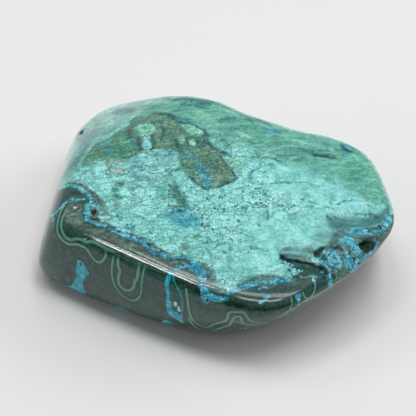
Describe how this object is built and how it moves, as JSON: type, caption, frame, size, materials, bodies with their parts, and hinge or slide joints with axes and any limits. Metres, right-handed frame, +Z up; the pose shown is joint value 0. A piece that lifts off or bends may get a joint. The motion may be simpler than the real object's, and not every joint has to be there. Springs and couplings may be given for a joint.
{
  "type": "polished chrysocolla specimen",
  "caption": "Palm-sized tumbled freeform stone of blue-green chrysocolla with malachite banding, flat underneath so that it rests steadily.",
  "frame": {"origin": "on the surface that the stone rests on, under the centre of its bounding box", "axes": "+Z up through the domed top, +X towards the pointed right end, -Y towards the banded front face"},
  "size_m": [0.0783, 0.0746, 0.028],
  "materials": {
    "polished_chrysocolla": "tumbled and hand-polished, glossy"
  },
  "bodies": {
    "root": {"chrysocolla_stone": "polished_chrysocolla"}
  },
  "joints": []
}
